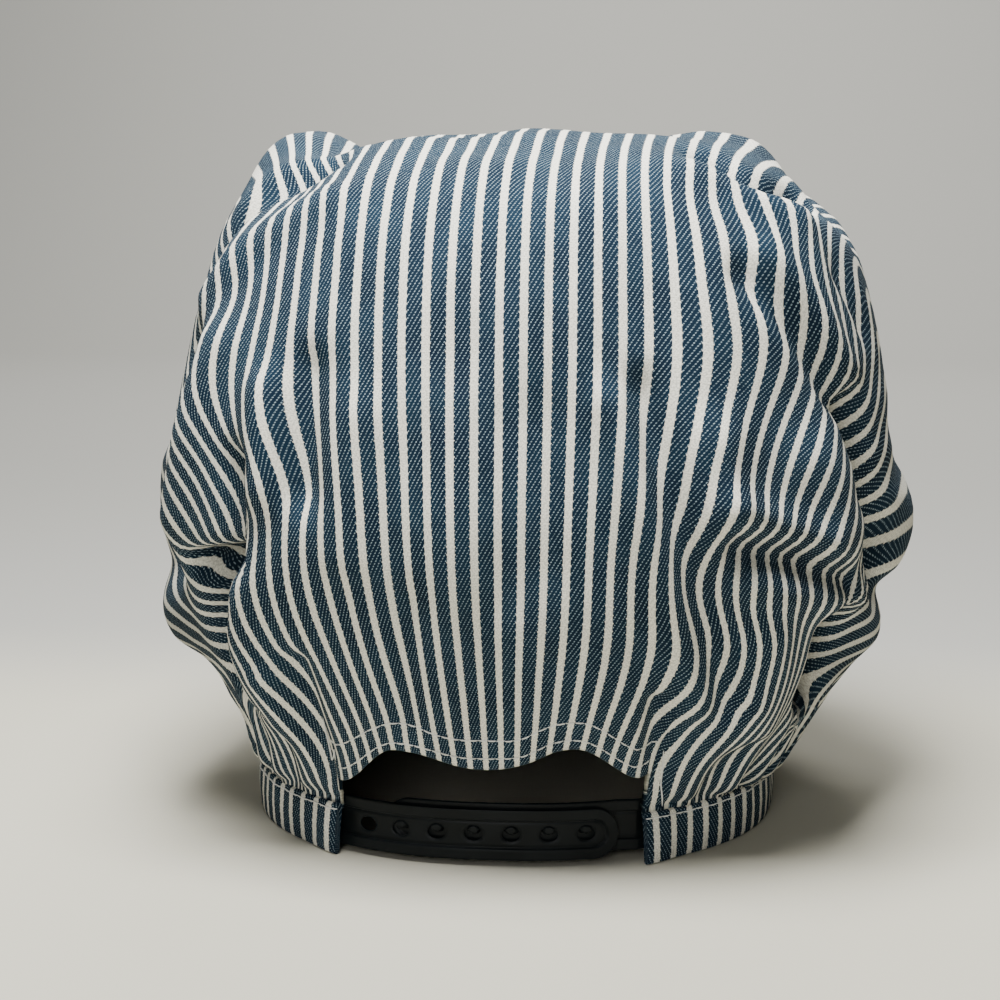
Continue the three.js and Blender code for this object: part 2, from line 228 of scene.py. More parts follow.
denim = {
    "stripeRepeat": 6.6,
    "whiteWidth": 2.1,
    "tooth": 0.3,
    "speckSpacing": 1.25,
    "speckRow": 0.7,
    "speckLean": 0.55,
    "speckEdge": (0.1, 0.32),
    "wander": 0.35,
    "blue": (0.003, 0.011, 0.023, 1),
    "blueWorn": (0.006, 0.02, 0.037, 1),
    "speck": (0.27, 0.35, 0.39, 1),
    "white": (0.8, 0.78, 0.68, 1),
    "whiteShade": (0.34, 0.335, 0.29, 1),
    # the colour of the painted shade in the crown's creases, cavities and undersides
    "hollow": (0.002, 0.004, 0.006, 1),
}


def denimMaterial(name, reverse=False, withPaintedShade=False):
    material, shader, w = newMaterial(name, Roughness=0.9, Specular_IOR_Level=0.1)
    place = w.node("ShaderNodeUVMap", {"uv_map": "UVMap"})
    millimetres = w.node("ShaderNodeVectorMath", {"operation": "SCALE"}, {0: place, "Scale": 1 / mm})
    across = w.node("ShaderNodeSeparateXYZ", {}, {0: millimetres}, out=0)
    along = w.node("ShaderNodeSeparateXYZ", {}, {0: millimetres}, out=1)
    wander = (w.noise(millimetres, 0.35) - 0.5) * denim["wander"]
    fine = w.noise(millimetres, 2.2, 3.0)
    patchy = w.noise(millimetres, 0.06, 3.0)

    # twill: specks of weft in rows, each row a third of a step along from the last
    rowShare = along / denim["speckRow"]
    stepShare = across / denim["speckSpacing"] + w.math("FLOOR", rowShare) / 3
    stepPlace = (w.math("FRACT", stepShare) - 0.5) * denim["speckSpacing"]
    rowPlace = (w.math("FRACT", rowShare) - 0.5) * denim["speckRow"]
    leaning = stepPlace + rowPlace * denim["speckLean"]
    reach = w.math("SQRT", leaning * leaning * 1.3 + rowPlace * rowPlace)
    speck = (1 - reach.smooth(*denim["speckEdge"])) * fine.smooth(0.3, 0.6)

    # stripes, with teeth where the weft crosses their edges
    stripeShare = (across + wander) / denim["stripeRepeat"]
    fromMiddle = w.math("ABSOLUTE", w.math("FRACT", stripeShare) - 0.5) * denim["stripeRepeat"]
    tooth = w.math("ABSOLUTE", w.math("FRACT", along / (3 * denim["speckRow"])) - 0.5)
    edge = fromMiddle - tooth.smooth(0.34, 0.5) * denim["tooth"]
    half = denim["whiteWidth"] / 2
    white = 1 - edge.smooth(half - 0.1, half + 0.12)

    warp = patchy.smooth(0.3, 0.75).blend(denim["blue"], denim["blueWorn"])
    bleached = fine.smooth(0.35, 0.6) * 0.6 + 0.4 * (1 - speck)
    colour = white.blend(speck.blend(warp, denim["speck"]), bleached.blend(denim["whiteShade"], denim["white"]))
    if reverse:
        colour = (fine * 0.3 + 0.55).blend(colour, denim["white"])
    # painted shade: the colour goes towards a near-black blue in the creases, cavities and undersides, as far
    # as the crown's shade attribute says
    if withPaintedShade:
        # the creases keep more of the dye
        paintedShade = w.node("ShaderNodeAttribute", {"attribute_name": "paintedShade"}, {}, out=2)
        colour = paintedShade.blend(colour, denim["hollow"])
    height = speck * 0.35 + white * 0.25 + fine * 0.5
    bump = w.node("ShaderNodeBump", {}, {"Strength": 0.35, "Distance": 0.25 * mm, "Height": height})
    feed(material, shader, Base_Color=colour, Normal=bump)
    return material


# Crown: its outline at several heights, in shares of the cap's sizes

sectionColumns = ("up", "left", "right", "back", "front", "squareness")
bandAcross = cap["bandHalfWidth"] / cap["crownHalfWidth"]
bandAlong = cap["bandHalfDepth"] / cap["crownHalfDepth"]
crownSections = np.array([
    (0.00, bandAcross, bandAcross, bandAlong, bandAlong, cap["bandSquareness"]),
    (0.07, 0.715, 0.785, 0.840, 0.860, 2.35),
    (0.15, 0.780, 0.860, 0.890, 0.940, 2.40),
    (0.24, 0.855, 0.920, 0.935, 0.990, 2.45),
    (0.34, 0.900, 0.965, 0.965, 1.020, 2.50),
    (0.44, 0.905, 0.985, 0.970, 1.030, 2.50),
    (0.54, 0.895, 0.975, 0.950, 1.010, 2.50),
    (0.65, 0.860, 0.955, 0.910, 0.960, 2.50),
    (0.75, 0.820, 0.925, 0.850, 0.885, 2.50),
    (0.84, 0.775, 0.870, 0.765, 0.785, 2.45),
    (0.91, 0.700, 0.765, 0.655, 0.665, 2.40),
    (0.96, 0.590, 0.625, 0.500, 0.520, 2.35),
    (0.99, 0.370, 0.370, 0.300, 0.310, 2.20),
    (1.00, 0.000, 0.000, 0.000, 0.000, 2.00),
])


def sectionValue(column, up):
    # a smooth curve through one column of the table
    values = crownSections[:, sectionColumns.index(column)]
    climb = np.arcsin(crownSections[:, 0])
    t = np.arcsin(np.clip(up, 0, 1))
    k = np.clip(np.searchsorted(climb, t, side="right") - 1, 0, len(climb) - 2)
    before, after = np.maximum(k - 1, 0), np.minimum(k + 2, len(climb) - 1)
    step = climb[k + 1] - climb[k]
    f = (t - climb[k]) / step
    startSlope = (values[k + 1] - values[before]) / (climb[k + 1] - climb[before]) * step
    endSlope = (values[after] - values[k]) / (climb[after] - climb[k]) * step
    rise = values[k + 1] - values[k]
    square = 3 * rise - 2 * startSlope - endSlope
    cube = startSlope + endSlope - 2 * rise
    return values[k] + f * (startSlope + f * (square + f * cube))


def outside(point):
    # below 0 inside the plain crown, above 0 outside; point is from the band's centre
    up = (point[..., 2] - seamHeight) / cap["crownHeight"]
    across = np.where(point[..., 0] < 0, sectionValue("right", up), sectionValue("left", up))
    along = np.where(point[..., 1] > 0, sectionValue("back", up), sectionValue("front", up))
    power = sectionValue("squareness", up)
    small = 1e-5  # keeps the top's centre from dividing by 0
    acrossShare = np.abs(point[..., 0]) / (across * cap["crownHalfWidth"] + small)
    alongShare = np.abs(point[..., 1]) / (along * cap["crownHalfDepth"] + small)
    return np.where(up > 1, 1 + up, acrossShare ** power + alongShare ** power - 1)


# Folds: ridges with a lift above 0 and valleys below it, along a line of points.
# A point is (across, back, up) in shares of the crown's sizes, across to the right seen from behind.
# Lift and width are in mm.
crownFolds = [
    ("upper left puff", [(-0.90, -0.25, 0.44), (-0.92, 0.18, 0.43)], 5.5, 19),
    ("lower left puff", [(-0.88, -0.30, 0.25), (-0.84, 0.36, 0.25)], 9, 15),
    ("crease between left puffs", [(-0.92, -0.40, 0.325), (-0.82, 0.50, 0.33)], -3.5, 5),
    ("left lobe", [(-0.66, 0.66, 0.68), (-0.71, 0.64, 0.54), (-0.75, 0.60, 0.41)], 7, 11),
    ("left back valley", [(-0.43, 0.86, 0.68), (-0.42, 0.88, 0.48)], -5, 6.5),
    ("central panel, left", [(-0.30, 0.92, 0.60), (-0.32, 0.93, 0.40)], 3.5, 9),
    ("left back ridge", [(-0.53, 0.80, 0.62), (-0.52, 0.84, 0.48)], 4, 7),
    ("left pinch", [(-0.60, 0.80, 0.52), (-0.61, 0.80, 0.39)], -6.5, 5.5),
    ("left lower panel", [(-0.57, 0.77, 0.33), (-0.55, 0.70, 0.14)], 6, 9),
    ("left corner pleat", [(-0.45, 0.82, 0.22), (-0.39, 0.70, 0.03)], -4.5, 4.5),
    ("left corner ridge", [(-0.52, 0.76, 0.20), (-0.43, 0.66, 0.03)], 3, 4),
    ("left gather pleat", [(-0.56, 0.68, 0.14), (-0.50, 0.60, 0.02)], -3.5, 4),
    ("upper right puff", [(0.98, -0.22, 0.40), (1.00, 0.10, 0.38)], 9.5, 17),
    ("lower right puff", [(0.90, -0.28, 0.22), (0.90, 0.30, 0.24)], 8.5, 14),
    ("crease between right puffs", [(0.98, -0.40, 0.29), (0.94, 0.30, 0.30)], -5, 6),
    ("right lobe", [(0.78, 0.68, 0.52), (0.82, 0.60, 0.40)], 6, 12),
    ("right drag ridge", [(0.56, 0.84, 0.46), (0.78, 0.68, 0.40)], 4.5, 6),
    ("right drag crease", [(0.58, 0.85, 0.415), (0.74, 0.74, 0.385), (0.84, 0.58, 0.34)], -5, 4.5),
    ("below the drag crease", [(0.62, 0.82, 0.36), (0.76, 0.70, 0.335), (0.88, 0.50, 0.31)], 5, 7),
    ("right lower panel", [(0.66, 0.76, 0.27), (0.62, 0.68, 0.13)], 6, 10),
    ("right corner pleat", [(0.41, 0.85, 0.18), (0.385, 0.69, 0.02)], -5, 4),
    ("right corner ridge", [(0.60, 0.74, 0.18), (0.43, 0.68, 0.03)], 4, 6),
    ("right gather pleat", [(0.60, 0.62, 0.10), (0.50, 0.60, 0.02)], -3.5, 4),
    ("right shoulder crease", [(0.58, 0.66, 0.77), (0.83, 0.58, 0.61)], -5, 5),
    ("right shoulder ridge", [(0.64, 0.60, 0.80), (0.87, 0.50, 0.64)], 3, 6),
    ("far right crease", [(0.83, 0.42, 0.79), (0.89, 0.36, 0.70)], -2.5, 5),
    ("right back valley",
     [(0.36, 0.87, 0.64), (0.43, 0.91, 0.49), (0.49, 0.89, 0.36), (0.58, 0.77, 0.18)], -4.5, 4.5),
    ("central panel, right",
     [(0.30, 0.90, 0.62), (0.365, 0.93, 0.48), (0.42, 0.90, 0.34), (0.50, 0.80, 0.18)], 4, 6),
    ("right back ridge", [(0.54, 0.85, 0.56), (0.55, 0.85, 0.44)], 4.5, 8),
    ("centre hollow", [(0.14, 0.95, 0.60), (0.18, 0.96, 0.40)], -3, 13),
    ("centre ridge", [(-0.06, 0.94, 0.62), (-0.02, 0.96, 0.36)], 2.5, 12),
    ("low centre valley", [(-0.16, 0.97, 0.34), (-0.20, 0.92, 0.16)], -2.5, 6),
    ("low centre ridge", [(0.06, 0.97, 0.30), (0.10, 0.90, 0.12)], 2.5, 7),
    ("top right ridge", [(0.48, 0.50, 0.93), (0.72, 0.44, 0.88)], 4, 7),
    ("far top right", [(0.50, -0.02, 0.98), (0.58, 0.0, 0.95)], 4, 11),
    ("far right hollow", [(0.74, -0.15, 0.93), (0.82, 0.10, 0.87)], -6, 10),
    ("top left ridge", [(-0.40, 0.60, 0.88), (-0.60, 0.57, 0.82), (-0.70, 0.52, 0.74)], 4, 7),
    ("far top left", [(-0.72, -0.02, 0.90), (-0.84, 0.0, 0.74)], 1.5, 12),
    ("left horn", [(-0.56, -0.12, 0.97), (-0.58, 0.02, 0.97)], 6, 14),
    ("dip beside the horn", [(-0.37, -0.20, 0.99), (-0.40, 0.20, 0.97)], -6, 12),
    ("front centre pleat", [(0.02, -1.00, 0.30), (0.00, -0.84, 0.03)], -5, 9),
    ("front left pleat", [(-0.34, -0.98, 0.34), (-0.26, -0.80, 0.03)], -5, 9),
    ("front right pleat", [(0.36, -0.97, 0.32), (0.27, -0.80, 0.03)], -5, 9),
    ("front left corner fold", [(-0.76, -0.68, 0.60), (-0.60, -0.60, 0.08)], -7, 11),
    ("front right corner fold", [(0.80, -0.68, 0.56), (0.60, -0.60, 0.08)], -7, 11),
    ("front overhang", [(-0.45, -0.98, 0.20), (0.45, -0.98, 0.20)], 5, 15),
]

# Tucks: lines where the cloth goes in behind its neighbour; push (across, back, up) and width in mm.
crownTucks = [
    ("left cavity", [(-0.665, 0.75, 0.33), (-0.705, 0.685, 0.26), (-0.685, 0.64, 0.17)], (26, -19, 3), 6),
    ("left crease", [(-0.62, 0.80, 0.37), (-0.72, 0.67, 0.345)], (7, -10, 5), 4.5),
    ("behind the left lobe",
     [(-0.77, 0.55, 0.66), (-0.81, 0.54, 0.54), (-0.87, 0.44, 0.38)], (11, -4, 0), 7),
    ("behind the top left ridge", [(-0.46, 0.38, 0.93), (-0.74, 0.34, 0.76)], (6, -1, -7), 8),
    ("right cavity", [(0.86, 0.57, 0.275), (0.82, 0.53, 0.18)], (-24, -17, 4), 6),
    ("behind the right lobe",
     [(0.88, 0.50, 0.58), (0.91, 0.45, 0.47), (0.97, 0.30, 0.35)], (-12, -5, 0), 7),
    ("behind the right shoulder",
     [(0.50, 0.36, 0.955), (0.58, 0.42, 0.925), (0.66, 0.38, 0.90), (0.72, 0.28, 0.885)], (-2, -4, -8), 6),
]

# Painted shade on undersides, cavities and creases: line, how much, and width in mm.
paintedShadeLines = [
    ("lower left puff", [(-0.93, 0.10, 0.24), (-0.83, 0.50, 0.24)], 0.5, 15),
    ("lower right puff", [(0.95, 0.10, 0.21), (0.87, 0.45, 0.20)], 0.4, 12),
    ("left cavity", [(-0.685, 0.72, 0.32), (-0.70, 0.67, 0.20)], 0.8, 6),
    ("right cavity", [(0.86, 0.56, 0.27), (0.83, 0.51, 0.15)], 0.8, 6),
    ("far left", [(-0.96, 0.10, 0.46), (-0.92, 0.30, 0.46)], 0.3, 14),
    ("far right", [(1.00, 0.10, 0.37), (0.96, 0.32, 0.37)], 0.25, 9),
    ("crease between left puffs", [(-0.92, 0.0, 0.325), (-0.82, 0.50, 0.33)], 0.35, 5),
    ("crease between right puffs", [(0.98, 0.0, 0.29), (0.94, 0.40, 0.30)], 0.4, 6),
    ("right drag crease", [(0.58, 0.85, 0.415), (0.74, 0.74, 0.385), (0.84, 0.58, 0.34)], 0.3, 4),
    ("left pinch", [(-0.60, 0.80, 0.52), (-0.61, 0.80, 0.39)], 0.25, 5),
]

# Darts: lines down through the tucks, as (lean, turn) in degrees; the stripes don't run on across them.
crownDarts = [
    [(-31.6, 139.6), (-38, 145), (-46, 156), (-49, 162)],
    [(51, 140), (54, 147), (57, 156), (58, 160)],
]

# Stripes turn from upright on the back to level on the sides here: height as a share, then degrees
# round the head from the back and half the width of the turn. They turn back before the front.
stripeTurns = {
    "left": [(0, 50, 20), (0.15, 50, 12), (0.30, 47, 8), (0.36, 47, 10), (0.42, 58, 18), (0.50, 68, 18),
             (0.60, 80, 12), (0.70, 84, 10), (1, 84, 10)],
    "right": [(0, 54, 22), (0.15, 64, 16), (0.28, 62, 14), (0.36, 64, 16), (0.42, 72, 16), (0.50, 80, 14),
              (0.60, 86, 10), (0.70, 87, 9), (1, 87, 9)],
}
turnBack = (134, 16)

# Where the stripes on the back lean: centre (across, up) and reach in shares, and how far they
# go to the right for each step down.
stripeLeans = [
    ("far upper left", (-0.64, 0.90), (0.14, 0.07), -0.9),
    ("upper left", (-0.66, 0.72), (0.16, 0.10), -0.3),
    ("into the left pinch", (-0.66, 0.50), (0.13, 0.08), 1.0),
    ("out of the left pinch", (-0.46, 0.44), (0.10, 0.06), -0.25),
    ("lower left panel", (-0.52, 0.20), (0.20, 0.15), 0.5),
    ("left of the hem", (-0.24, 0.18), (0.22, 0.15), 0.2),
    ("top right", (0.62, 0.89), (0.14, 0.06), 0.9),
    ("right shoulder", (0.68, 0.76), (0.2, 0.08), 0.4),
    ("right lobe", (0.70, 0.55), (0.22, 0.09), -0.4),
    ("above the right crease", (0.62, 0.43), (0.18, 0.045), -0.75),
    ("below the right crease", (0.56, 0.31), (0.14, 0.05), 0.55),
    ("lower right panel", (0.54, 0.14), (0.16, 0.07), -0.85),
    ("right of the hem", (0.28, 0.20), (0.20, 0.15), -0.35),
]

# Where gathered cloth brings the stripes closer, in the same form, and how much closer.
stripeCrowds = [
    ("upper left", (-0.64, 0.74), (0.17, 0.16), 1.0),
    ("far left edge", (-0.82, 0.56), (0.12, 0.08), 0.7),
    ("top left", (-0.46, 0.93), (0.10, 0.05), 0.5),
    ("upper right", (0.78, 0.76), (0.15, 0.18), 0.9),
    ("far right edge", (0.92, 0.55), (0.10, 0.10), 0.6),
    ("lower left panel's edge", (-0.62, 0.27), (0.08, 0.12), 0.9),
    ("left of the corner", (-0.50, 0.15), (0.10, 0.10), 0.5),
    ("below the right crease", (0.72, 0.33), (0.14, 0.07), 0.5),
    ("above the hem", (-0.05, 0.29), (0.30, 0.11), 0.16),
    ("far left puff", (-0.93, 0.44), (0.08, 0.08), 0.7),
    ("far right puff", (0.99, 0.42), (0.08, 0.07), 0.4),
    ("right cavity", (0.86, 0.24), (0.10, 0.10), 0.9),
    ("left cavity", (-0.78, 0.26), (0.09, 0.12), 0.8),
    ("right shoulder", (0.62, 0.68), (0.09, 0.12), 0.5),
    ("left lobe", (-0.62, 0.58), (0.10, 0.14), 0.85),
    ("right lower panel", (0.59, 0.23), (0.08, 0.12), 0.7),
    ("behind the left ridge", (-0.82, 0.84), (0.10, 0.12), 0.8),
]

crown = {
    "columns": 250,
    "rows": 170,
    "lastLean": 89.3,
    "fittingSteps": 900,
    "wall": 1.3 * mm,
    "gatherCount": 44,
    "gatherDepth": 1.5 * mm,
    "gatherRise": 14 * mm,
    "tuckDepth": 1.6 * mm,
    "hemCornerRise": (7.5 * mm, 12 * mm),
    "hemHumpRise": (21 * mm, 24 * mm),
    "hemMiddleRise": 16 * mm,
    "hemHumpAt": 0.58,
    # how dark the painted shade in the creases and undersides gets at most
    "hollowShade": 0.85,
    "fittedLift": 0.35,
    "footFade": 12 * mm,
    "spreadFade": 30 * mm,
    "slackLift": 1.3 * mm,
    "slackScale": 0.032,
    "wrinkleLift": 1.6 * mm,
    "wrinkleLength": 0.055,
    "wrinkleWidth": 0.011,
}


def foldPoint(across, back, up):
    # the place on the plain crown in the direction of a fold's point
    way = np.array([-across * cap["crownHalfWidth"], back * cap["crownHalfDepth"], up * cap["crownHeight"]])
    lean = math.asin(-way[0] / np.linalg.norm(way))
    return rayPoint(np.array(math.atan2(way[2], -way[1])), np.array(lean))


def smoothStep(value, low, high):
    share = np.clip((value - low) / (high - low), 0, 1)
    return share * share * (3 - 2 * share)


def fromLine(points, line):
    # how far each point is from a line through the fold's points
    nearest = np.full(points.shape[:-1], 1.0)
    stops = [foldPoint(*stop) for stop in line]
    for start, end in zip(stops, stops[1:]):
        along = end - start
        share = np.clip(((points - start) @ along) / (along @ along), 0, 1)
        nearest = np.minimum(nearest, np.linalg.norm(points - start - share[..., None] * along, axis=-1))
    return nearest


def hemRise(share):
    part = np.minimum(np.abs(share), 1)
    ease = lambda t: (1 - np.cos(np.pi * np.clip(t, 0, 1))) / 2
    hump = np.where(share < 0, *crown["hemHumpRise"])
    corner = np.where(share < 0, *crown["hemCornerRise"])
    humps = crown["hemMiddleRise"] + (hump - crown["hemMiddleRise"]) * ease(part / crown["hemHumpAt"])
    return humps + (corner - hump) * ease((part - crown["hemHumpAt"]) / (1 - crown["hemHumpAt"]))


def rayPoint(turn, lean):
    # where a ray from the band's centre leaves the plain crown; turn 0 is forward, pi is back
    direction = np.stack([-np.sin(lean), -np.cos(lean) * np.cos(turn), np.cos(lean) * np.sin(turn)], -1)
    start = np.array([0, 0, seamHeight])
    near, far = np.full(turn.shape, 0.03), np.full(turn.shape, 0.3)
    for _ in range(34):
        middle = (near + far) / 2
        isOut = outside(start + direction * middle[..., None]) > 0
        far = np.where(isOut, middle, far)
        near = np.where(isOut, near, middle)
    return start + direction * near[..., None]


def outwardFrom(point):
    # the way out of the plain crown, from how fast outside() grows
    step = 0.4 * mm
    slope = np.stack([outside(point + offset) - outside(point - offset) for offset in np.eye(3) * step], -1)
    slope[..., 2] = np.where(point[..., 2] < seamHeight + 2 * step, 0, slope[..., 2])
    return slope / np.linalg.norm(slope, axis=-1, keepdims=True)


def slack(points, scale, seed):
    shape = points.shape[:-1]
    flat = points.reshape(-1, 3) / scale
    values = [noise.noise(Vector((x, y, z * 0.45 + seed))) for x, y, z in flat]
    return np.array(values).reshape(shape)


def crownLattice():
    # rows run across from one side to the other, columns from front to back
    lean = np.radians(np.linspace(-crown["lastLean"], crown["lastLean"], crown["columns"] + 1))
    corner = headPoint(np.array(openingAngle), 0, 0)
    edge = math.atan2(-corner[0], corner[1])
    for side in (-1, 1):
        nearest = int(np.argmin(np.abs(lean - side * edge)))
        lean[nearest] = side * edge
        lean[nearest + side] = side * (edge + math.radians(0.2))
    lastTurn = np.full(lean.shape, math.pi)
    inOpening = np.abs(lean) < edge + 1e-6
    low, high = np.full(lean.shape, math.radians(140)), np.full(lean.shape, math.pi)
    for _ in range(24):
        middle = (low + high) / 2
        point = rayPoint(middle, lean)
        above = point[:, 2] > seamHeight + hemRise(-point[:, 0] / cap["openingHalfWidth"])
        low, high = np.where(above, middle, low), np.where(above, high, middle)
    lastTurn[inOpening] = low[inOpening]
    share = np.linspace(0, 1, crown["rows"] + 1)
    share = share + 0.3 * np.sin(math.pi * share) / math.pi
    settle = smoothStep(share, 0.86, 1)
    turn = share[:, None] * math.pi - settle[:, None] * (math.pi - lastTurn)[None, :]
    plain = rayPoint(turn, np.broadcast_to(lean, turn.shape))
    return plain, lean, turn


def crownShape():
    # the crown's points with all its folds, the calmer cloth that the stripes are laid out on, and the
    # plain crown that both start from
    plain, lean, turn = crownLattice()
    outward = outwardFrom(plain)
    rise = plain[..., 2] - seamHeight
    around = aroundOf(plain)
    free = 1 - np.exp(-rise / crown["footFade"])

    lift = np.zeros(turn.shape)
    for _, line, height, width in crownFolds:
        distance = fromLine(plain, line)
        lift += height * mm * np.exp(-((distance / (width * mm)) ** 2))
    lift += slack(plain, crown["slackScale"], 3.7) * crown["slackLift"] * 2
    lift += slack(plain, crown["slackScale"] * 0.45, 9.1) * crown["slackLift"] * 0.7
    onSide = smoothStep(np.abs(np.degrees(around)), 50, 75) * (1 - smoothStep(rise, 100 * mm, 150 * mm))
    wrinkleSpan = np.array([crown["wrinkleLength"], crown["wrinkleLength"], crown["wrinkleWidth"] * 0.45])
    lift += slack(plain / wrinkleSpan, 1, 5.3) * crown["wrinkleLift"] * onSide
    lift *= free
    lift += sideSpread(around) * np.exp(-rise / crown["spreadFade"])
    sideShare = np.clip((np.abs(around) - openingAngle) / math.radians(20), 0, 1)
    fade = (1 - np.exp(-rise / (3 * mm))) * np.exp(-rise / crown["gatherRise"])
    wave = np.cos(crown["gatherCount"] * around + 1.7 * np.sin(5 * around) + 1.1 * np.sin(11 * around))
    gathers = 2 * crown["gatherDepth"] * fade * wave * sideShare
    points = plain + outward * (lift + gathers)[..., None]
    # painted shade: how far the crown's colour goes to the shade colour, deepest in the tucks' cavities and
    # along the underside lines
    paintedShade = np.zeros(turn.shape)
    for _, line, push, width in crownTucks:
        distance = fromLine(plain, line)
        fading = np.exp(-((distance / (width * mm)) ** 2)) * free
        points += fading[..., None] * np.array([-push[0], push[1], push[2]]) * mm
        paintedShade = np.maximum(paintedShade, fading ** 2 * np.clip(math.hypot(*push) / 22, 0, 1))
    for _, line, amount, width in paintedShadeLines:
        paintedShade = np.maximum(paintedShade, amount * np.exp(-((fromLine(plain, line) / (width * mm)) ** 2)))

    # the lower edge goes down behind the band's top edge
    seamed = np.where(np.abs(around) > openingAngle + 1e-3, 1, 0) * np.exp(-((rise / (3 * mm)) ** 2))
    points -= outward * (crown["tuckDepth"] * seamed)[..., None]
    points[..., 2] -= 2.5 * mm * seamed * (rise < 0.5 * mm)
    fitted = plain + outward * (lift * crown["fittedLift"])[..., None]
    return points, fitted, plain, outward, lean, turn, paintedShade


def sideOfDart(dart, lean, turn):
    # 1 on the side of greater lean, -1 on the other, 0 beyond the dart's ends
    stops = sorted((t, l) for l, t in dart)
    line = np.interp(np.degrees(turn), [t for t, _ in stops], [l for _, l in stops])
    within = (np.degrees(turn) >= stops[0][0]) & (np.degrees(turn) <= stops[-1][0])
    return np.where(within, np.where(np.degrees(lean) > line, 1, -1), 0)


def patchSum(patches, across, up):
    # soft round patches, each (name, centre, reach, amount), added up at (across, up)
    total = np.zeros(across.shape)
    for _, centre, reach, amount in patches:
        offset = ((across - centre[0]) / reach[0]) ** 2 + ((up - centre[1]) / reach[1]) ** 2
        total += amount * np.exp(-offset)
    return total


def clothWays(points, plain, turn):
    # unit directions across and along the stripes, on the cloth
    rowWay = np.gradient(points, axis=1)
    columnWay = np.gradient(points, axis=0)
    normal = np.cross(columnWay, rowWay)
    normal /= np.linalg.norm(normal, axis=-1, keepdims=True)
    across = -plain[..., 0] / cap["crownHalfWidth"]
    up = (plain[..., 2] - seamHeight) / cap["crownHeight"]
    turning = np.zeros(across.shape)
    degrees = np.degrees(aroundOf(plain))
    for side, sign in (("left", -1), ("right", 1)):
        stops = np.array(stripeTurns[side])
        line = np.interp(up, stops[:, 0], stops[:, 1])
        half = np.interp(up, stops[:, 0], stops[:, 2])
        turned = smoothStep(degrees * sign, line - half, line + half)
        turned *= 1 - smoothStep(degrees * sign, turnBack[0] - turnBack[1], turnBack[0] + turnBack[1])
        turning += sign * turned * (1 - smoothStep(up, 0.86, 0.98))
    lean = patchSum(stripeLeans, across, up) * (turn > math.pi / 2)

    def onCloth(way):
        flat = way - normal * (way * normal).sum(-1, keepdims=True)
        return flat / (np.linalg.norm(flat, axis=-1, keepdims=True) + 1e-9)

    upright = onCloth(np.stack([0 * lean - 1, 0 * lean, lean], -1))
    level = onCloth(np.stack([0 * lean, 0 * lean, -np.sign(turning)], -1))
    share = np.abs(turning)[..., None]
    acrossWay = onCloth(upright * (1 - share) + level * share)
    alongWay = np.cross(normal, acrossWay)
    # v grows from the front, over the top, to the back
    alongWay *= np.sign((alongWay * columnWay).sum(-1, keepdims=True).mean())
    return acrossWay * (1 + patchSum(stripeCrowds, across, up))[..., None], alongWay


def layFlat(points, plain, lean, turn):
    # lengths across and along the stripes that fit clothWays best, one (u, v) for each lattice point
    acrossWay, alongWay = clothWays(points, plain, turn)
    sides = [sideOfDart(dart, lean[None, :] + 0 * turn, turn) for dart in crownDarts]
    trust = 0.4 + 4 * np.exp(-((plain[..., 0] / (56 * mm)) ** 4)) * (turn > math.radians(60))
    whole, early, late = slice(None), slice(None, -1), slice(1, None)
    fits = []
    for axis, first, second in ((0, (early, whole), (late, whole)), (1, (whole, early), (whole, late))):
        step = points[second] - points[first]
        length = np.linalg.norm(step, axis=-1) + 1e-6
        crossing = np.zeros(length.shape, bool)
        for side in sides:
            crossing |= side[first] * side[second] < 0
        other = np.linalg.norm(np.gradient(points, axis=1 - axis), axis=-1)
        weight = (other[first] + other[second]) / 2 / length * (trust[first] + trust[second]) / 2
        weight = np.where(crossing, 0, weight) + 1e-6
        wants = [((way[first] + way[second]) / 2 * step).sum(-1) for way in (acrossWay, alongWay)]
        fits.append((first, second, weight, wants))

    def spread(values):
        result = np.zeros(values.shape)
        for first, second, weight, _ in fits:
            pull = weight * (values[second] - values[first])
            result[second] += pull
            result[first] -= pull
        return result

    scale = np.zeros(turn.shape)
    for first, second, weight, _ in fits:
        scale[first] += weight
        scale[second] += weight
    laid = []
    alongColumns = np.zeros(turn.shape)
    alongColumns[1:] = np.cumsum(np.linalg.norm(np.diff(points, axis=0), axis=-1), 0)
    for k, values in ((0, -plain[..., 0]), (1, alongColumns)):
        target = np.zeros(turn.shape)
        for first, second, weight, wants in fits:
            target[second] += weight * wants[k]
            target[first] -= weight * wants[k]
        rest = target - spread(values)
        way = rest / scale
        product = (rest * way).sum()
        for _ in range(crown["fittingSteps"]):
            moved = spread(way)
            share = product / (way * moved).sum()
            values += share * way
            rest -= share * moved
            scaled = rest / scale
            last, product = product, (rest * scaled).sum()
            way = scaled + product / last * way
        laid.append(values)
    across, along = laid
    across -= across[turn.shape[0] // 2, turn.shape[1] // 2]
    return across, along


def makeCrown(cloth, wrongSide):
    points, fitted, plain, outward, lean, turn, paintedShade = crownShape()
    across, along = layFlat(fitted, plain, lean, turn)
    sheet, column, row = clothSheet("crown_cloth", crown["columns"], crown["rows"])
    onStripes = np.stack([across, along], -1)
    placeSheet(sheet, points[row, column] + capCentre, onStripes[row, column])
    # the painted shade goes to the crown's material as a point attribute
    shade = sheet.data.attributes.new("paintedShade", "FLOAT", "POINT")
    shade.data.foreach_set("value", paintedShade[row, column] * crown["hollowShade"])
    editWhole(sheet, faceOutward)
    area = sum(face.area for face in sheet.data.polygons)
    applyModifier(sheet, "SOLIDIFY", thickness=crown["wall"], offset=-1, use_rim=True,
                  use_even_offset=False, material_offset=1, material_offset_rim=0)
    finishPiece(sheet, "striped_cloth", [cloth, wrongSide], "crown")
    return sheet, points, outward, lean, area


# Band

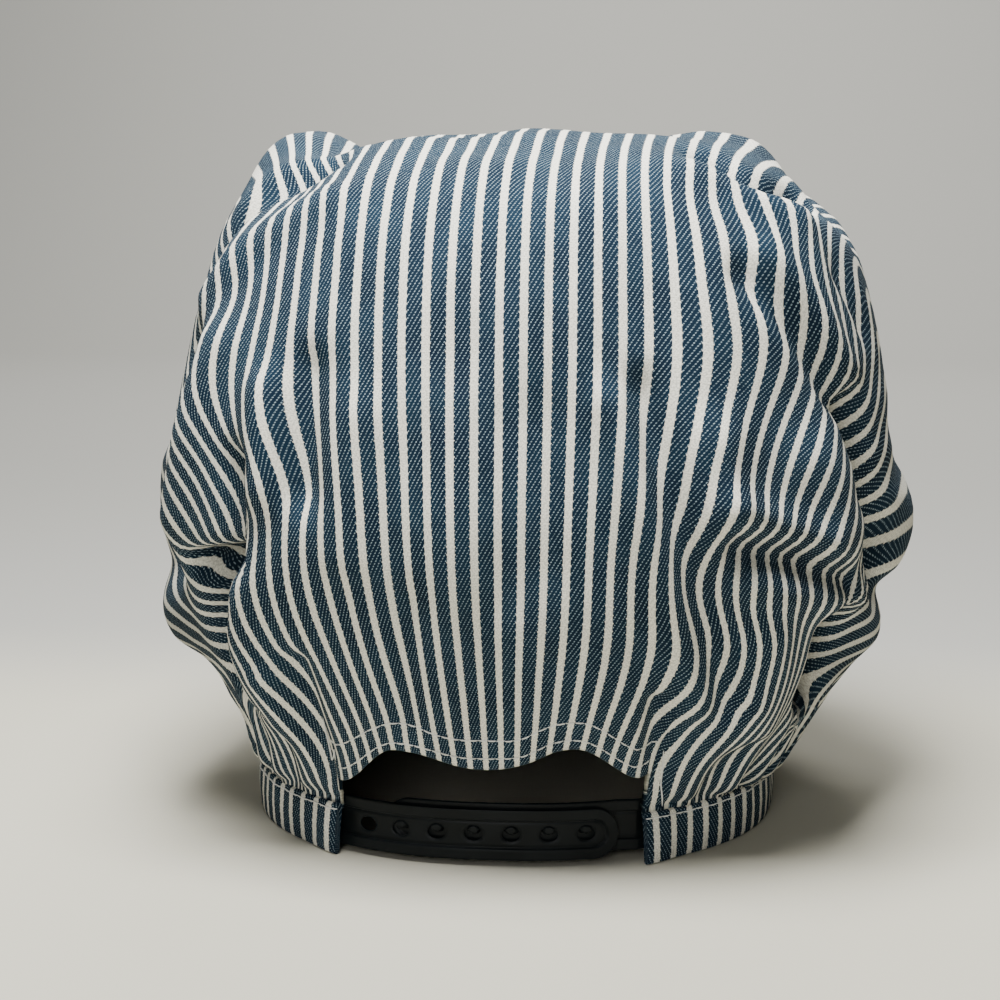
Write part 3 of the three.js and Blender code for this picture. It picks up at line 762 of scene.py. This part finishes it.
band = {
    "columns": 420,
    "bulge": 0.5 * mm,
    "wave": 0.35 * mm,
    "flare": 2.5 * mm,
    "flareAngle": 0.12,
    "spread": (3.2 * mm, 1.2 * mm),
    "spreadAt": 1.25,
    "spreadReach": 0.5,
}
bandProfile = [(0.0, 0.14), (0.0, 0.5), (0.0, 0.86), (0.12, 0.97), (0.5, 1.0), (0.88, 0.97), (1.0, 0.86),
               (1.0, 0.5), (1.0, 0.14), (0.88, 0.03), (0.5, 0.0), (0.12, 0.03)]


def bandAngles(count):
    # even steps of length round the band from the opening's right side to its left
    fine = np.linspace(openingAngle, 2 * math.pi - openingAngle, 2000)
    steps = np.linalg.norm(np.diff(headPoint(fine, 0, 0), axis=0), axis=1)
    length = np.concatenate([[0], np.cumsum(steps)])
    run = np.linspace(0, length[-1], count)
    return np.interp(run, length, fine), run


def bandBulge(around, share):
    # how far the band's outside stands out: a soft roll, small ripples, and ends that flare
    ripple = band["wave"] * (0.5 * np.sin(31 * around) + 0.5 * np.sin(53 * around + 1)) * share
    fromEnd = np.minimum(around - openingAngle, 2 * math.pi - openingAngle - around)
    flare = band["flare"] * np.exp(-((fromEnd / band["flareAngle"]) ** 2)) * (1 - 0.6 * share)
    return np.sin(math.pi * share) * band["bulge"] + ripple + flare + sideSpread(around)


def sideSpread(around):
    # how far the gathered cloth pulls the band out at each side
    turned = (around + math.pi) % (2 * math.pi) - math.pi
    right, left = band["spread"]
    return (right * np.exp(-((turned - band["spreadAt"]) / band["spreadReach"]) ** 2)
            + left * np.exp(-((turned + band["spreadAt"]) / band["spreadReach"]) ** 2))


def makeBand(cloth):
    profile = bandProfile + bandProfile[:1]
    sheet, column, row = clothSheet("band_cloth", band["columns"], len(profile) - 1)
    angles, run = bandAngles(band["columns"] + 1)
    around = angles[column]
    depth = np.array([p[0] for p in profile])[row]
    share = np.array([p[1] for p in profile])[row]
    out = bandBulge(around, share) - 0.3 * mm
    points = headPoint(around, depth * cap["bandWall"] - out, share * cap["bandHeight"])
    fold = np.cumsum([0] + [math.hypot((b[0] - a[0]) * cap["bandWall"], (b[1] - a[1]) * cap["bandHeight"])
                            for a, b in zip(profile, profile[1:])])
    placeSheet(sheet, points + capCentre, np.stack([run[column], fold[row]], -1))
    closeSheet(sheet)
    finishPiece(sheet, "striped_cloth", cloth, "band")
    return sheet


# Brim

brim = {
    "columns": 150, "rows": 54, "reach": 62 * mm, "wall": 3 * mm, "spread": math.radians(68),
    "sideWidth": 3 * mm, "arch": 7 * mm, "droop": 3 * mm, "floorClearance": 0.3 * mm,
    "stitchRows": 6, "stitchGap": 8.5 * mm, "edge": 3.5 * mm, "channel": 0.35 * mm,
}


def brimPlan(share, out):
    # plan of the brim: share -1..1 round the band, out 0..1 from the band to the rim
    root = headPoint(math.pi + share * brim["spread"], -cap["gap"], 0)
    tip = headPoint(np.array(math.pi + brim["spread"]), -cap["gap"], 0)
    rootX, rootY, tipX, tipY = root[..., 0], root[..., 1], tip[0], -tip[1]
    sweep = share * math.pi / 2
    edgeX = (tipX + brim["sideWidth"]) * np.sin(sweep)
    edgeY = -tipY - (cap["bandHalfDepth"] + brim["reach"] - tipY) * np.cos(sweep) ** 0.9
    x = rootX + (edgeX - rootX) * out
    y = rootY + (edgeY - rootY) * out
    arch = 1 - (x / (tipX + brim["sideWidth"])) ** 2
    bottom = brim["floorClearance"] + brim["arch"] * arch - brim["droop"] * arch * out
    return x, y, bottom, np.hypot(edgeX - rootX, edgeY - rootY)


def makeBrim(cloth):
    # one closed sleeve: over the top, round the rim and back underneath
    rows = 2 * brim["rows"]
    sheet, column, row = clothSheet("brim_cloth", brim["columns"], rows)
    share = 2 * column / brim["columns"] - 1
    along = row / brim["rows"]
    out = np.where(along <= 1, along, 2 - along)
    x, y, bottom, width = brimPlan(share, out)
    toRim = (1 - out) * width
    rounding = np.sqrt(np.clip(1 - (1 - np.clip(toRim / (brim["wall"] / 2), 0, 1)) ** 2, 0, 1))
    middle = bottom + brim["wall"] / 2
    top = along <= 1
    gutters = np.zeros(len(x))
    for k in range(brim["stitchRows"]):
        gutters += np.exp(-(((toRim - brim["edge"] - k * brim["stitchGap"]) / (1.1 * mm)) ** 2))
    inside = np.clip(width / (20 * mm), 0, 1)
    thickness = brim["wall"] / 2 * rounding - brim["channel"] * gutters * inside * (toRim >= brim["wall"])
    z = middle + np.where(top, 1, -1) * thickness
    placeSheet(sheet, np.stack([x, y, z], -1) + capCentre, np.stack([x, -y], -1))
    closeSheet(sheet)
    finishPiece(sheet, "striped_cloth", cloth, "brim")
    return sheet


# Strap

def plasticMaterial():
    material, shader, w = newMaterial("blackPlastic", Specular_IOR_Level=0.12)
    place = w.node("ShaderNodeTexCoord", {}, {}, out=3)
    grain = w.noise(place, 2600.0, 2.0)
    smear = w.noise(place, 60.0, 3.0)
    colour = smear.smooth(0.3, 0.7).blend((0.003, 0.0045, 0.005, 1), (0.006, 0.008, 0.009, 1))
    bump = w.node("ShaderNodeBump", {}, {"Strength": 0.15, "Distance": 0.05 * mm, "Height": grain})
    feed(material, shader, Base_Color=colour, Roughness=smear * 0.25 + 0.3, Normal=bump)
    return material


strap = {
    "height": 16 * mm,
    "wall": 1.5 * mm,
    "tuck": 12 * mm,
    "rim": 3.6 * mm,
    "channel": 0.7 * mm,
    "groove": 0.25 * mm,
    "edgeRound": 0.5 * mm,
    "step": 0.4 * mm,
    "frontRows": 44,
    "backRows": 8,
    "holePitch": 11.65 * mm,
    "firstHole": -39.45 * mm,
    "holeCount": 7,
    "holeHalfLength": 2.9 * mm,
    "holeHalfHeight": 2.2 * mm,
    "studShare": 0.74,
}
outerStrap = {"end": 40.7 * mm, "foot": 2 * mm}
innerStrap = {"end": -33.5 * mm, "foot": 3.5 * mm, "ease": 6 * mm}
anchorLength = cap["openingHalfWidth"] + strap["tuck"]
overlapInset = cap["gap"] + strap["wall"] + cap["gap"]


def strapPlace(length, height, inset):
    # length round the head from the back's centre, height, and depth inside the band
    fine = np.radians(np.arange(0, 80, 0.05))
    steps = np.linalg.norm(np.diff(headPoint(fine, cap["bandWall"], 0), axis=0), axis=1)
    walked = np.concatenate([[0], np.cumsum(steps)])
    around = np.interp(np.abs(length), walked, fine) * np.sign(length)
    return headPoint(around, cap["bandWall"] + inset, height)


def holeCentres():
    return [strap["firstHole"] + k * strap["holePitch"] for k in range(strap["holeCount"])]


def fromHole(length, height):
    # 1 on the edge of the nearest hole, 0 at its centre
    spans = [np.hypot((length - centre) / strap["holeHalfLength"], height / strap["holeHalfHeight"])
             for centre in holeCentres()]
    return np.min(spans, axis=0)


def makeTongue(name, anchor, end, foot, face, extra):
    # a strap tongue: rim round a shallow channel, round at its free end; face gives its depth inside the
    # band and extra its cups or studs
    radius = strap["height"] / 2
    direction = 1 if end > anchor else -1
    total = abs(end - anchor)
    columns = int(total / strap["step"])
    rows = strap["frontRows"] + strap["backRows"]
    sheet, column, row = clothSheet(name, columns, rows)
    run = total * column / columns
    intoEnd = np.clip((run - total + radius) / radius, 0, 1)  # columns draw together in the round end
    run = np.where(intoEnd > 0, total - radius * (1 - np.sin(intoEnd * math.pi / 2)), run)
    intoEnd = np.clip(run - total + radius, 0, None)
    half = np.sqrt(np.clip(radius ** 2 - intoEnd ** 2, 0, None))
    isFront = row <= strap["frontRows"]
    backShare = (row - strap["frontRows"]) / strap["backRows"]
    share = np.where(isFront, 1 - 2 * row / strap["frontRows"], 2 * backShare - 1)
    share = np.sin(share * math.pi / 2) * 0.35 + share * 0.65
    height = share * half
    fromEdge = radius - np.hypot(height, intoEnd)
    length = anchor + direction * run
    sunk = strap["channel"] * smoothStep(fromEdge, strap["rim"] - 0.3 * mm, strap["rim"] + 0.2 * mm)
    sunk += strap["groove"] * np.exp(-(((fromEdge - strap["rim"] - 0.45 * mm) / (0.3 * mm)) ** 2))
    sunk += extra(length, height)
    corner = strap["edgeRound"]
    rounding = corner - np.sqrt(np.clip(corner ** 2 - np.clip(corner - fromEdge, 0, corner) ** 2, 0, None))
    depth = np.where(isFront, sunk + rounding, strap["wall"] - rounding)
    points = strapPlace(length, foot + radius + height, face(length) + depth)
    placeSheet(sheet, points + capCentre, np.stack([length, height], -1))
    closeSheet(sheet)
    return sheet


def holeCutter(centre):
    # an oval plug through the outer tongue
    height = outerStrap["foot"] + strap["height"] / 2
    place = strapPlace(np.array(centre), height, cap["gap"] + strap["wall"] / 2)
    outward = place - strapPlace(np.array(centre), height, overlapInset)
    deselectAll()
    bpy.ops.mesh.primitive_cylinder_add(vertices=40, radius=1, depth=1)
    plug = bpy.context.object
    turn = Vector(outward).to_track_quat("Z", "Y").to_matrix()
    sizes = (strap["holeHalfLength"], strap["holeHalfHeight"])
    if abs((turn @ Vector((1, 0, 0))).z) > 0.5:
        sizes = sizes[::-1]
    plug.matrix_world = (Matrix.Translation(Vector(place + capCentre)) @ turn.to_4x4()
                         @ Matrix.Diagonal((*sizes, 6 * mm, 1)))
    return plug


def makeStrap(plastic):
    def cups(length, height):
        # the cloth-side edge of each hole is eased
        return 0.35 * mm * np.exp(-((np.clip(fromHole(length, height) - 1, 0, None) / 0.16) ** 2))

    outer = makeTongue("strap_outer_front", -anchorLength, outerStrap["end"], outerStrap["foot"],
                       lambda length: cap["gap"] + 0 * length, cups)
    plugs = [holeCutter(centre) for centre in holeCentres()]
    deselectAll()
    for plug in plugs:
        plug.select_set(True)
    bpy.context.view_layer.objects.active = plugs[0]
    bpy.ops.object.join()
    cutter = bpy.context.object
    applyModifier(outer, "BOOLEAN", operation="DIFFERENCE", object=cutter, solver="EXACT")
    bpy.data.objects.remove(cutter)
    activate(outer)
    bpy.ops.object.shade_smooth_by_angle(angle=math.radians(35))

    def innerFace(length):
        past = np.clip((length - outerStrap["end"] - cap["gap"]) / innerStrap["ease"], 0, 1)
        return overlapInset + (cap["gap"] - overlapInset) * past

    def studs(length, height):
        # a low round-topped stud in each hole but the first, and a plain inside behind the holes
        span = fromHole(length, height) / strap["studShare"]
        isFree = length < strap["firstHole"] + strap["holePitch"] / 2
        top = np.sqrt(np.clip(1 - np.clip(span, 0, 1) ** 4, 0, None))
        return np.where(isFree, 0, -(strap["channel"] + 1.55 * mm) * np.clip(top * 1.1, 0, 1))

    inner = makeTongue("strap_inner_back", anchorLength, innerStrap["end"], innerStrap["foot"],
                       innerFace, studs)
    finishPiece(outer, "snap_plastic", plastic, "strap_outer")
    finishPiece(inner, "snap_plastic", plastic, "strap_inner")


# Sewing

thread = {"radius": 0.24 * mm, "stitch": 2.8 * mm, "stepsPerStitch": 7, "sides": 6}


def threadMaterial():
    material, shader, w = newMaterial("whiteThread", Specular_IOR_Level=0.3, Sheen_Weight=0.2)
    place = w.node("ShaderNodeUVMap", {"uv_map": "UVMap"})
    twist = w.node("ShaderNodeVectorMath", {"operation": "SCALE"}, {0: place, "Scale": 1 / mm})
    around = w.node("ShaderNodeSeparateXYZ", {}, {0: twist}, out=1)
    along = w.node("ShaderNodeSeparateXYZ", {}, {0: twist}, out=0)
    ply = w.math("SINE", (along / 0.5 + around * 2) * 6.283)
    fuzz = w.noise(twist, 3.0)
    colour = (ply * 0.25 + fuzz * 0.6 + 0.2).blend((0.5, 0.5, 0.47, 1), (0.85, 0.85, 0.82, 1))
    bump = w.node("ShaderNodeBump", {}, {"Strength": 0.4, "Distance": 0.08 * mm, "Height": ply})
    feed(material, shader, Base_Color=colour, Roughness=fuzz * 0.2 + 0.65, Normal=bump)
    return material


def makeThread(name, path, outward, stitch=None):
    # a thread along a path on the cloth; with a stitch length it dips into the cloth between stitches
    path, outward = np.array(path), np.array(outward)
    radius = thread["radius"]
    length = np.concatenate([[0], np.cumsum(np.linalg.norm(np.diff(path, axis=0), axis=1))])
    if stitch:
        count = max(1, round(length[-1] / stitch))
        steps = count * thread["stepsPerStitch"]
    else:
        count, steps = 1, max(24, int(length[-1] / (0.8 * mm)))
    run = np.linspace(0, length[-1], steps + 1)
    centre = np.stack([np.interp(run, length, path[:, k]) for k in range(3)], -1)
    out = np.stack([np.interp(run, length, outward[:, k]) for k in range(3)], -1)
    out /= np.linalg.norm(out, axis=-1, keepdims=True)
    ahead = np.gradient(centre, axis=0)
    ahead /= np.linalg.norm(ahead, axis=-1, keepdims=True)
    side = np.cross(ahead, out)
    side /= np.linalg.norm(side, axis=-1, keepdims=True)
    if stitch:
        phase = run / length[-1] * count
        bow = np.sqrt(np.abs(np.sin(math.pi * phase)))
        rise = radius * (0.75 * bow - 0.6 * (1 - bow))
        thick = radius * (0.45 + 0.55 * bow)
    else:
        rise = radius * np.ones(len(run))
        thick = radius * (1 - 0.6 * np.abs(np.linspace(-1, 1, len(run))) ** 6)
    centre = centre + out * rise[:, None]
    sheet, column, row = clothSheet(name, steps, thread["sides"])
    turn = 2 * math.pi * row / thread["sides"]
    spoke = side[column] * np.cos(turn)[:, None] + out[column] * np.sin(turn)[:, None]
    placeSheet(sheet, centre[column] + spoke * thick[column, None],
               np.stack([run[column], turn * radius], -1))
    return sheet


def onCrown(lean, fromLeanEdge, points, outward, leans):
    # a point on the crown's outside and the way out: lean in radians, distance up from the lower edge
    at = np.interp(lean, leans, np.arange(len(leans)))
    low = int(min(at, len(leans) - 2))
    share = at - low
    column = points[:, low] * (1 - share) + points[:, low + 1] * share
    out = outward[:, low] * (1 - share) + outward[:, low + 1] * share
    column, out = column[::-1], out[::-1]
    length = np.concatenate([[0], np.cumsum(np.linalg.norm(np.diff(column, axis=0), axis=1))])
    place = np.array([np.interp(fromLeanEdge, length, column[:, k]) for k in range(3)])
    way = np.array([np.interp(fromLeanEdge, length, out[:, k]) for k in range(3)])
    return place + capCentre, way / np.linalg.norm(way)


def joinPieces(name, pieces):
    deselectAll()
    for piece in pieces:
        piece.select_set(True)
    bpy.context.view_layer.objects.active = pieces[0]
    bpy.ops.object.join()
    joined = bpy.context.object
    joined.name = name
    closeSheet(joined)
    return joined


# Rows of stitches above the hem: at shares of the opening's half width, heights above its edge in mm.
hemRows = [
    [(-1.02, 13), (-0.85, 12), (-0.6, 9), (-0.3, 9.5), (0, 10.8), (0.3, 10.8), (0.6, 9.8), (0.85, 10),
     (1.02, 12)],
    [(-0.98, 4.2), (-0.85, 4), (-0.6, 2.4), (-0.3, 3), (0, 4.2), (0.3, 4), (0.6, 3.4), (0.85, 3.6),
     (0.98, 4.5)],
]


# Loose ends of thread beside the opening, in the same measures.
threadEnds = [
    [(1.03, 25), (1.055, 19), (1.07, 13), (1.10, 8), (1.135, 3.5)],
    [(-0.995, 21), (-1.03, 19), (-1.035, 16), (-1.005, 13.5), (-0.985, 10), (-1.0, 6)],
]


def makeSewing(material, points, outward, leans):
    corner = headPoint(np.array(openingAngle), 0, 0)
    edge = math.atan2(-corner[0], corner[1]) * 0.999
    pieces = []
    for stops in hemRows:
        shares = np.linspace(stops[0][0], stops[-1][0], 120)
        heights = np.interp(shares, [place for place, _ in stops], [height for _, height in stops])
        places = [onCrown(edge * np.clip(share, -1, 1), height * mm, points, outward, leans)
                  for share, height in zip(shares, heights)]
        pieces.append(makeThread("hem_stitches", [place for place, _ in places], [way for _, way in places],
                                 thread["stitch"]))
    for stops in threadEnds:
        places = [onCrown(edge * share, height * mm, points, outward, leans) for share, height in stops]
        pieces.append(makeThread("thread_end", [place for place, _ in places], [way for _, way in places]))
    sewing = joinPieces("hem_sewing", pieces)
    finishPiece(sewing, "white_thread", material)

    angles, _ = bandAngles(400)
    seamShare = 0.9
    out = bandBulge(angles, seamShare) - 0.3 * mm
    path = headPoint(angles, -out, seamShare * cap["bandHeight"]) + capCentre
    ways = headPoint(angles, -1, 0) - headPoint(angles, 0, 0)
    seam = joinPieces("band_sewing", [makeThread("band_stitches", path, ways, thread["stitch"])])
    finishPiece(seam, "white_thread", material)

    rows = []
    for k in range(brim["stitchRows"]):
        share = np.linspace(-0.93, 0.93, 160)
        x, y, bottom, width = brimPlan(share, 1.0)
        out = 1 - (brim["edge"] + k * brim["stitchGap"]) / np.maximum(width, 1 * mm)
        keep = out > 0.06
        if keep.sum() < 8:
            continue
        x, y, bottom, width = brimPlan(share[keep], out[keep])
        path = np.stack([x, y, bottom + brim["wall"] - brim["channel"] + 0.05 * mm], -1) + capCentre
        upward = np.tile((0, 0, 1.0), (len(path), 1))
        rows.append(makeThread("brim_stitches", path, upward, thread["stitch"]))
    topstitching = joinPieces("brim_sewing", rows)
    finishPiece(topstitching, "white_thread", material)


# Studio

studio = {
    "focal": 2200,
    "frame": 1000,
    "sensor": 36,
    "pitch": 9.2,
    "turn": 6,
    "away": 735 * mm,
    "height": 217 * mm,
    "shift": -6 * mm,
    "world": 0.035,
    "floorColour": (0.48, 0.46, 0.375, 1),
    "wallColour": (0.36, 0.355, 0.325, 1),
    "greyFrom": -0.07,
    "greyTo": -0.24,
    "sweepStart": 1.5,
    "sweepRadius": 0.7,
    "sweepHeight": 2.5,
    "curveRows": 24,
    "wallRows": 8,
}
studioLamps = [
    # name, place from the cap, place it points at, size, watts
    ("overhead", (0.05, 0.17, 0.8), (0, 0, 0.1), 0.4, 20),
    ("behind the camera", (0.1, 1.4, 0.5), (0, 0, 0.1), 0.5, 6),
    ("on the backdrop", (0, -1.1, 1.5), (0, -1.9, 0.3), 0.8, 42),
]


def makeCamera():
    turn, pitch = math.radians(studio["turn"]), math.radians(studio["pitch"])
    right = Vector((-math.cos(turn), -math.sin(turn), 0))
    ahead = Vector((math.sin(turn), -math.cos(turn), 0))
    place = Vector(capCentre) - ahead * studio["away"] + right * studio["shift"]
    place.z += studio["height"]
    look = ahead * math.cos(pitch) - Vector((0, 0, math.sin(pitch)))
    bpy.ops.object.camera_add(location=place)
    camera = bpy.context.object
    camera.rotation_mode = "QUATERNION"
    camera.rotation_quaternion = look.to_track_quat("-Z", "Y")
    camera.data.sensor_width = studio["sensor"]
    camera.data.lens = studio["focal"] / studio["frame"] * studio["sensor"]
    camera.data.clip_start, camera.data.clip_end = 0.05, 20
    bpy.context.scene.camera = camera


def makeStudio():
    # the floor turns grey some way beyond the cap, and the backdrop rises from it in a quarter circle
    start, radius, climb = studio["sweepStart"], studio["sweepRadius"], studio["sweepHeight"]
    for name in ("floor", "backdrop"):
        if name == "floor":
            deselectAll()
            bpy.ops.mesh.primitive_plane_add(size=8, location=(capCentre[0], capCentre[1], 0))
            surface = bpy.context.object
            surface.name = name
        else:
            curved, upright = studio["curveRows"], studio["wallRows"]
            surface, column, row = clothSheet(name, 2, curved + upright)
            turn = np.clip(row / curved, 0, 1) * math.pi / 2
            back = start + radius * np.sin(turn)
            height = radius * (1 - np.cos(turn)) + np.clip(row - curved, 0, upright) / upright * climb
            points = np.stack([(column - 1) * 4.0, -back, height - 0.2 * mm], -1) + capCentre
            placeSheet(surface, points, np.stack([column - 1, back], -1))
        material, shader, w = newMaterial(name + "Paper", Roughness=0.85)
        place = w.node("ShaderNodeTexCoord", {}, {}, out=3)
        along = w.node("ShaderNodeSeparateXYZ", {}, {0: place}, out=1)
        beyond = along.smooth(studio["greyFrom"], studio["greyTo"])
        feed(material, shader, Base_Color=beyond.blend(studio["floorColour"], studio["wallColour"]))
        surface.data.materials.append(material)
    world = bpy.data.worlds.new("studio")
    bpy.context.scene.world = world
    world.use_nodes = True
    sky = world.node_tree.nodes["Background"]
    sky.inputs["Color"].default_value = (0.9, 0.95, 1, 1)
    sky.inputs["Strength"].default_value = studio["world"]
    for name, place, target, size, watts in studioLamps:
        spot = Vector(capCentre) + Vector(place)
        bpy.ops.object.light_add(type="AREA", location=spot)
        lamp = bpy.context.object
        lamp.name = name
        lamp.data.size = size
        lamp.data.energy = watts
        aim = Vector(capCentre) + Vector(target) - spot
        lamp.rotation_mode = "QUATERNION"
        lamp.rotation_quaternion = aim.to_track_quat("-Z", "Y")


makeCamera()
makeStudio()
print("camera and studio are in place")

cloth = denimMaterial("stripedCloth")
# the crown's cloth has painted shade in its creases, cavities and undersides
crownCloth = denimMaterial("stripedCrownCloth", withPaintedShade=True)
wrongSide = denimMaterial("stripedClothInside", reverse=True)
plastic = plasticMaterial()
print("materials are made")

crownSheet, crownPoints, crownOut, crownLean, crownArea = makeCrown(crownCloth, wrongSide)
print("crown is made, cloth area", round(crownArea, 4))
bandSheet = makeBand(cloth)
print("band is made")
brimSheet = makeBrim(cloth)
print("brim is made")

makeStrap(plastic)
print("strap is made")
makeSewing(threadMaterial(), crownPoints, crownOut, crownLean)
print("sewing is made")
